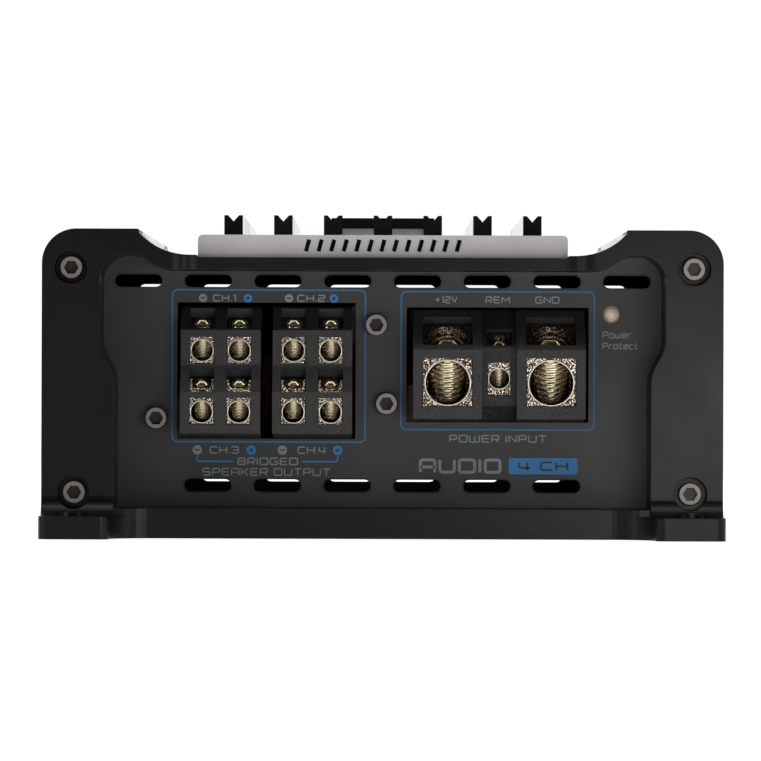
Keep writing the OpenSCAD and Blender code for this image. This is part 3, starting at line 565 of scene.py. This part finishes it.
# Each letter: its width, then its strokes, in shares of the letter's own width and height
GLYPHS = {
    "A": (0.95, [[(0, 0), (0, 1), (1, 1), (1, 0)], [(0, 0.42), (1, 0.42)]]),
    "B": (0.95, [[(0, 0), (0, 1), (0.94, 1), (0.94, 0.52)], [(0, 0.52), (1, 0.52), (1, 0), (0, 0)]]),
    "C": (0.95, [[(1, 1), (0, 1), (0, 0), (1, 0)]]),
    "D": (1.0, [[(0, 0), (1, 0), (1, 1), (0, 1)], [(0, 0), (0, 1)]]),
    "E": (0.9, [[(1, 1), (0, 1), (0, 0), (1, 0)], [(0, 0.5), (0.9, 0.5)]]),
    "F": (0.85, [[(1, 1), (0, 1), (0, 0)], [(0, 0.5), (0.85, 0.5)]]),
    "G": (0.98, [[(1, 1), (0, 1), (0, 0), (1, 0), (1, 0.5), (0.55, 0.5)]]),
    "H": (0.95, [[(0, 0), (0, 1)], [(1, 0), (1, 1)], [(0, 0.5), (1, 0.5)]]),
    "I": (0.0, [[(0, 0), (0, 1)]]),
    "K": (0.9, [[(0, 0), (0, 1)], [(1, 1), (0.35, 0.5), (0, 0.5)], [(0.35, 0.5), (1, 0)]]),
    "L": (0.8, [[(0, 1), (0, 0), (1, 0)]]),
    "M": (1.2, [[(0, 0), (0, 1), (0.5, 0.35), (1, 1), (1, 0)]]),
    "N": (0.95, [[(0, 0), (0, 1), (1, 0), (1, 1)]]),
    "O": (0.98, [[(0.5, 0), (0, 0), (0, 1), (1, 1), (1, 0), (0.5, 0)]]),
    "P": (0.9, [[(0, 0), (0, 1), (1, 1), (1, 0.42), (0, 0.42)]]),
    "Q": (0.98, [[(0.5, 0), (0, 0), (0, 1), (1, 1), (1, 0), (0.5, 0)], [(0.6, 0.35), (1.05, -0.1)]]),
    "R": (0.9, [[(0, 0), (0, 1), (1, 1), (1, 0.42), (0, 0.42)], [(0.5, 0.42), (1, 0)]]),
    "S": (0.92, [[(1, 1), (0, 1), (0, 0.5), (1, 0.5), (1, 0), (0, 0)]]),
    "T": (0.9, [[(0, 1), (1, 1)], [(0.5, 1), (0.5, 0)]]),
    "U": (0.95, [[(0, 1), (0, 0), (1, 0), (1, 1)]]),
    "V": (0.95, [[(0, 1), (0.5, 0), (1, 1)]]),
    "W": (1.25, [[(0, 1), (0, 0), (1, 0), (1, 1)], [(0.5, 0), (0.5, 0.9)]]),
    "1": (0.3, [[(0, 1), (1, 1), (1, 0)]]),
    "2": (0.92, [[(0, 1), (1, 1), (1, 0.5), (0, 0.5), (0, 0), (1, 0)]]),
    "3": (0.92, [[(0, 1), (1, 1), (1, 0), (0, 0)], [(0.25, 0.5), (1, 0.5)]]),
    "4": (0.95, [[(0, 1), (0, 0.3), (1, 0.3)], [(0.75, 1), (0.75, 0)]]),
    "+": (0.85, [[(0, 0.5), (1, 0.5)], [(0.5, 0.1), (0.5, 0.9)]]),
    ".": (0.0, [[(0, 0), (0, 0.12)]]),
    "e": (0.78, [[(0, 0.36), (1, 0.36), (1, 0.72), (0, 0.72), (0, 0), (1, 0)]]),
    "c": (0.78, [[(1, 0.72), (0, 0.72), (0, 0), (1, 0)]]),
    "o": (0.82, [[(0.5, 0), (0, 0), (0, 0.72), (1, 0.72), (1, 0), (0.5, 0)]]),
    "r": (0.6, [[(0, 0), (0, 0.72), (1, 0.72)]]),
    "t": (0.55, [[(0.25, 1), (0.25, 0), (1, 0)], [(0, 0.72), (1, 0.72)]]),
    "w": (1.05, [[(0, 0.72), (0, 0), (1, 0), (1, 0.72)], [(0.5, 0), (0.5, 0.66)]]),
}


def rounded(points, radius, closed=False, steps=4):
    """A polyline with its corners turned into short arcs."""
    out = []
    count = len(points)
    for i, here in enumerate(points):
        if not closed and i in (0, count - 1):
            out.append(here)
            continue
        before, after = Vector(points[i - 1]), Vector(points[(i + 1) % count])
        corner = Vector(here)
        a, b = before - corner, after - corner
        cut = min(radius, a.length * 0.48, b.length * 0.48)
        start, end = corner + a.normalized() * cut, corner + b.normalized() * cut
        for k in range(steps + 1):
            t = k / steps
            out.append(tuple(start * (1 - t) ** 2 + corner * 2 * t * (1 - t) + end * t ** 2))
    return out


class Print:
    """Flat ink shapes on one panel; flip is for the far panel, which is read from the other side."""

    def __init__(self, name, look, y, flip=False, thick=0.03, lift=0.0):
        self.name, self.look, self.y, self.flip, self.thick, self.lift = name, look, y, flip, thick, lift
        self.bm = bmesh.new()

    def vert(self, x, z, top):
        out = self.lift + (self.thick if top else -0.01)
        if self.flip:
            return self.bm.verts.new((-x * MM, self.y + out * MM, z * MM))
        return self.bm.verts.new((x * MM, self.y - out * MM, z * MM))

    def prism(self, outline):
        high = [self.vert(x, z, True) for x, z in outline]
        low = [self.vert(x, z, False) for x, z in outline]
        self.bm.faces.new(high)
        self.bm.faces.new(list(reversed(low)))
        for i in range(len(high)):
            k = (i + 1) % len(high)
            self.bm.faces.new((high[i], low[i], low[k], high[k]))

    def line(self, points, width, closed=False):
        pts = [Vector(p) for p in points]
        count = len(pts)
        left, right = [], []
        for i, p in enumerate(pts):
            before = pts[i - 1] if (i or closed) else p
            after = pts[(i + 1) % count] if (i < count - 1 or closed) else p
            d0 = (p - before).normalized() if (p - before).length > 1e-9 else (after - p).normalized()
            d1 = (after - p).normalized() if (after - p).length > 1e-9 else d0
            n0, n1 = Vector((-d0.y, d0.x)), Vector((-d1.y, d1.x))
            mitre = n0 + n1
            mitre = n0 if mitre.length < 0.2 else mitre.normalized()
            reach = width / 2 / max(0.5, mitre.dot(n0))
            left.append(p + mitre * reach)
            right.append(p - mitre * reach)
        last = count if closed else count - 1
        for i in range(last):
            k = (i + 1) % count
            self.prism([left[i], right[i], right[k], left[k]])

    def disc(self, x, z, d, sides=32):
        self.prism(ring_path(x, z, d / 2, sides))

    def text(self, words, x0, x1, z, height, stroke):
        """Lettering whose strokes fill x0 to x1, standing on z."""
        pen, plan = 0.0, []
        for letter in words:
            if letter == " ":
                pen += 0.6
                continue
            width, strokes = GLYPHS[letter]
            plan.append((pen, width, strokes))
            pen += width + (0.34 if width > 0 else 0.36)
        natural = pen - 0.34
        usable_w, usable_h = x1 - x0 - stroke, height - stroke
        for start, width, strokes in plan:
            for points in strokes:
                placed = [
                    (
                        x0 + stroke / 2 + (start + px * width) / natural * usable_w,
                        z + stroke / 2 + pz * usable_h,
                    )
                    for px, pz in points
                ]
                self.line(rounded(placed, height * 0.2), stroke)

    def done(self):
        bmesh.ops.recalc_face_normals(self.bm, faces=self.bm.faces)
        mesh = bpy.data.meshes.new(self.name)
        self.bm.to_mesh(mesh)
        self.bm.free()
        link(self.name, mesh, self.look, sharp=30)


def box_outline(x0, x1, z0, z1, r):
    return rounded([(x0, z0), (x1, z0), (x1, z1), (x0, z1)], r, closed=True, steps=6)


grey_ink = Print("front_print_grey", "ink_grey", front_y)
blue_ink = Print("front_print_blue", "ink_blue", front_y)
sign_ink = Print("front_print_signs", "ink_dark", front_y, lift=0.03, thick=0.02)
line_ink = Print("front_print_lines", "line_blue", front_y)
line_ink.line(box_outline(-44.0, -3.6, 19.8, 51.6, 1.3), 0.38, closed=True)
line_ink.line(box_outline(3.9, 44.3, 22.5, 51.4, 1.3), 0.38, closed=True)
line_ink.done()
for x, z, d in ((-37.6, 49.9, 1.74), (-19.6, 49.9, 1.74), (-38.7, 18.1, 1.97), (-20.9, 18.1, 1.97)):
    grey_ink.disc(x, z, d)
    sign_ink.line([(x - d * 0.27, z), (x + d * 0.27, z)], 0.3)
for x, z, d in ((-28.2, 49.9, 1.74), (-10.2, 49.9, 1.74), (-27.4, 18.1, 1.97), (-9.3, 18.1, 1.97)):
    blue_ink.disc(x, z, d)
    sign_ink.line([(x - d * 0.27, z), (x + d * 0.27, z)], 0.26)
    sign_ink.line([(x, z - d * 0.27), (x, z + d * 0.27)], 0.26)
for words, x0, x1, z, height in (
    ("CH.1", -35.5, -30.7, 49.15, 1.5), ("CH.2", -17.9, -12.0, 49.15, 1.5),
    ("CH.3", -36.1, -30.0, 17.3, 1.6), ("CH.4", -17.7, -11.6, 17.3, 1.6),
    ("BRIDGED", -30.3, -17.6, 14.95, 1.6), ("SPEAKER OUTPUT", -37.6, -10.8, 12.7, 1.65),
    ("+12V", 10.9, 15.7, 48.95, 1.5), ("REM", 21.5, 26.7, 48.95, 1.5), ("GND", 31.9, 37.0, 48.95, 1.5),
    ("POWER INPUT", 14.0, 34.4, 19.8, 1.65),
    ("Power", 46.0, 52.2, 41.7, 1.5), ("Protect", 46.0, 53.5, 39.4, 1.5),
):
    grey_ink.text(words, x0, x1, z, height, 0.27)
grey_ink.text("AUDIO", 7.7, 25.0, 13.3, 3.2, 0.62)
blue_ink.line(rounded([(-38.7, 16.9), (-38.7, 15.7), (-31.2, 15.7)], 0.9), 0.3)
blue_ink.line(rounded([(-16.7, 15.7), (-9.3, 15.7), (-9.3, 16.9)], 0.9), 0.3)
blue_ink.prism(box_outline(26.5, 40.9, 13.2, 16.6, 0.5))
sign_ink.text("4 CH", 28.4, 39.0, 13.9, 2.0, 0.42)
for piece in (grey_ink, blue_ink, sign_ink):
    piece.done()

rear_ink = Print("rear_print_grey", "ink_grey", rear_y, flip=True)
rear_blue = Print("rear_print_blue", "line_blue", rear_y, flip=True)
for node, words in (("level_knob_a", "LEVEL"), ("crossover_knob_a", "FREQ"),
                    ("level_knob_b", "LEVEL"), ("crossover_knob_b", "FREQ")):
    lo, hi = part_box(node)
    x, z = -(lo.x + hi.x) / 2 / MM, (lo.z + hi.z) / 2 / MM
    rear_ink.text(words, x - 3.6, x + 3.6, z - 9.6, 1.5, 0.26)
    for k in range(11):
        turn = math.radians(230 - 28 * k)
        rear_ink.line([(x + 6.2 * math.cos(turn), z + 6.2 * math.sin(turn)),
                       (x + 7.0 * math.cos(turn), z + 7.0 * math.sin(turn))], 0.24)
for node, marks in (("mode_slider_a", "LPF FULL"), ("mode_slider_b", "HPF FULL")):
    lo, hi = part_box(node)
    x, z = -((lo.x + hi.x) / 2 / MM + 3), (lo.z + hi.z) / 2 / MM
    rear_ink.text(marks, x - 6.6, x + 6.6, z + 2.6, 1.3, 0.24)
lo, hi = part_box("phono_shells")
x0, x1 = -hi.x / MM, -lo.x / MM
rear_blue.line(box_outline(x0 - 3.2, x1 + 3.2, lo.z / MM - 2.0, hi.z / MM + 2.0, 1.3), 0.36, closed=True)
rear_ink.text("L", x0 - 1.9, x0 - 0.9, 39.3, 1.4, 0.26)
rear_ink.text("R", x0 - 2.0, x0 - 0.8, 21.3, 1.4, 0.26)
rear_ink.text("INPUT", (x0 + x1) / 2 - 5, (x0 + x1) / 2 + 5, lo.z / MM - 4.8, 1.6, 0.27)
rear_ink.done()
rear_blue.done()


# ------------------------------------------------------------------ floor, light and camera

def plane(name, size, z):
    bm = bmesh.new()
    bmesh.ops.create_grid(bm, x_segments=1, y_segments=1, size=size)
    mesh = bpy.data.meshes.new(name)
    bm.to_mesh(mesh)
    bm.free()
    obj = bpy.data.objects.new(name, mesh)
    bpy.context.scene.collection.objects.link(obj)
    obj.location.z = z
    return obj


paper = Look("floor_paper")
paper_tone = paper.noise(9.0, 3.0)
paper.colour(paper.ramp(paper_tone, [(0.3, grey(0.40)), (0.7, grey(0.43))]))
paper.rough(paper.spread(paper_tone, 0.85, 0.95))
paper.shader.inputs["Specular IOR Level"].default_value = 0.1
paper.shader.inputs["Emission Color"].default_value = (1, 1, 1, 1)
paper.set(Emission_Strength=0.86)
floor = plane("studio_floor", 7.0, -0.00002)
floor.data.materials.append(paper.mat)

# The room is bright behind the object and dim in front of it; the camera itself sees plain white.
world = bpy.data.worlds.new("studio")
bpy.context.scene.world = world
world.use_nodes = True
tree = world.node_tree
tree.nodes.clear()
output = tree.nodes.new("ShaderNodeOutputWorld")
pick = tree.nodes.new("ShaderNodeMixShader")
path = tree.nodes.new("ShaderNodeLightPath")
white = tree.nodes.new("ShaderNodeBackground")
white.inputs["Color"].default_value = (1, 1, 1, 1)
white.inputs["Strength"].default_value = 1.02
room = tree.nodes.new("ShaderNodeBackground")
coord = tree.nodes.new("ShaderNodeTexCoord")
split = tree.nodes.new("ShaderNodeSeparateXYZ")
depth_ramp = tree.nodes.new("ShaderNodeMapRange")
depth_ramp.interpolation_type = "SMOOTHSTEP"
depth_ramp.inputs["From Min"].default_value = -0.15
depth_ramp.inputs["From Max"].default_value = 0.75
depth_ramp.inputs["To Min"].default_value = 0.03
depth_ramp.inputs["To Max"].default_value = 1.0
room.inputs["Color"].default_value = (1, 1, 1, 1)
tree.links.new(coord.outputs["Generated"], split.inputs["Vector"])
tree.links.new(split.outputs["Y"], depth_ramp.inputs["Value"])
tree.links.new(depth_ramp.outputs["Result"], room.inputs["Strength"])
tree.links.new(path.outputs["Is Camera Ray"], pick.inputs["Fac"])
tree.links.new(room.outputs["Background"], pick.inputs[1])
tree.links.new(white.outputs["Background"], pick.inputs[2])
tree.links.new(pick.outputs["Shader"], output.inputs["Surface"])


def area_light(name, place, target, width, height, watts):
    data = bpy.data.lights.new(name, "AREA")
    data.shape = "RECTANGLE"
    data.size, data.size_y = width, height
    data.energy = watts
    obj = bpy.data.objects.new(name, data)
    bpy.context.scene.collection.objects.link(obj)
    obj.location = place
    obj.rotation_euler = (Vector(target) - Vector(place)).to_track_quat("-Z", "Y").to_euler()
    obj.visible_camera = False


area_light("overhead", (0.0, -0.34, 0.56), (0, -0.07, 0.035), 0.50, 0.34, 1.20)
area_light("key", (0.095, -0.33, 0.022), (0.02, -0.07, 0.03), 0.11, 0.05, 0.095)
area_light("rear", (-0.30, 0.60, 0.42), (0, 0.06, 0.03), 0.55, 0.40, 2.6)
area_light("strip_left", (-0.50, -0.40, 0.06), (0, -0.07, 0.03), 0.05, 0.30, 0.35)
area_light("strip_right", (0.55, -0.30, 0.06), (0, -0.07, 0.03), 0.05, 0.30, 0.25)

cam_data = bpy.data.cameras.new("camera")
cam_data.sensor_width = 36.0
cam_data.lens = 298.3
cam_data.clip_start, cam_data.clip_end = 0.01, 50
camera = bpy.data.objects.new("camera", cam_data)
bpy.context.scene.collection.objects.link(camera)
FOOT_REACH = 9.5 * MM  # how far the feet stand out in front of the cheeks
CAMERA_DISTANCE = 1.30
cheek_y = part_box("end_cap_front")[0].y + FOOT_REACH
camera.location = (-0.0004, cheek_y - CAMERA_DISTANCE, 0.03275)
camera.rotation_euler = (math.radians(90), math.radians(-0.2), 0)
bpy.context.scene.camera = camera

scene = bpy.context.scene
scene.view_settings.view_transform = "Standard"
scene.view_settings.look = "None"
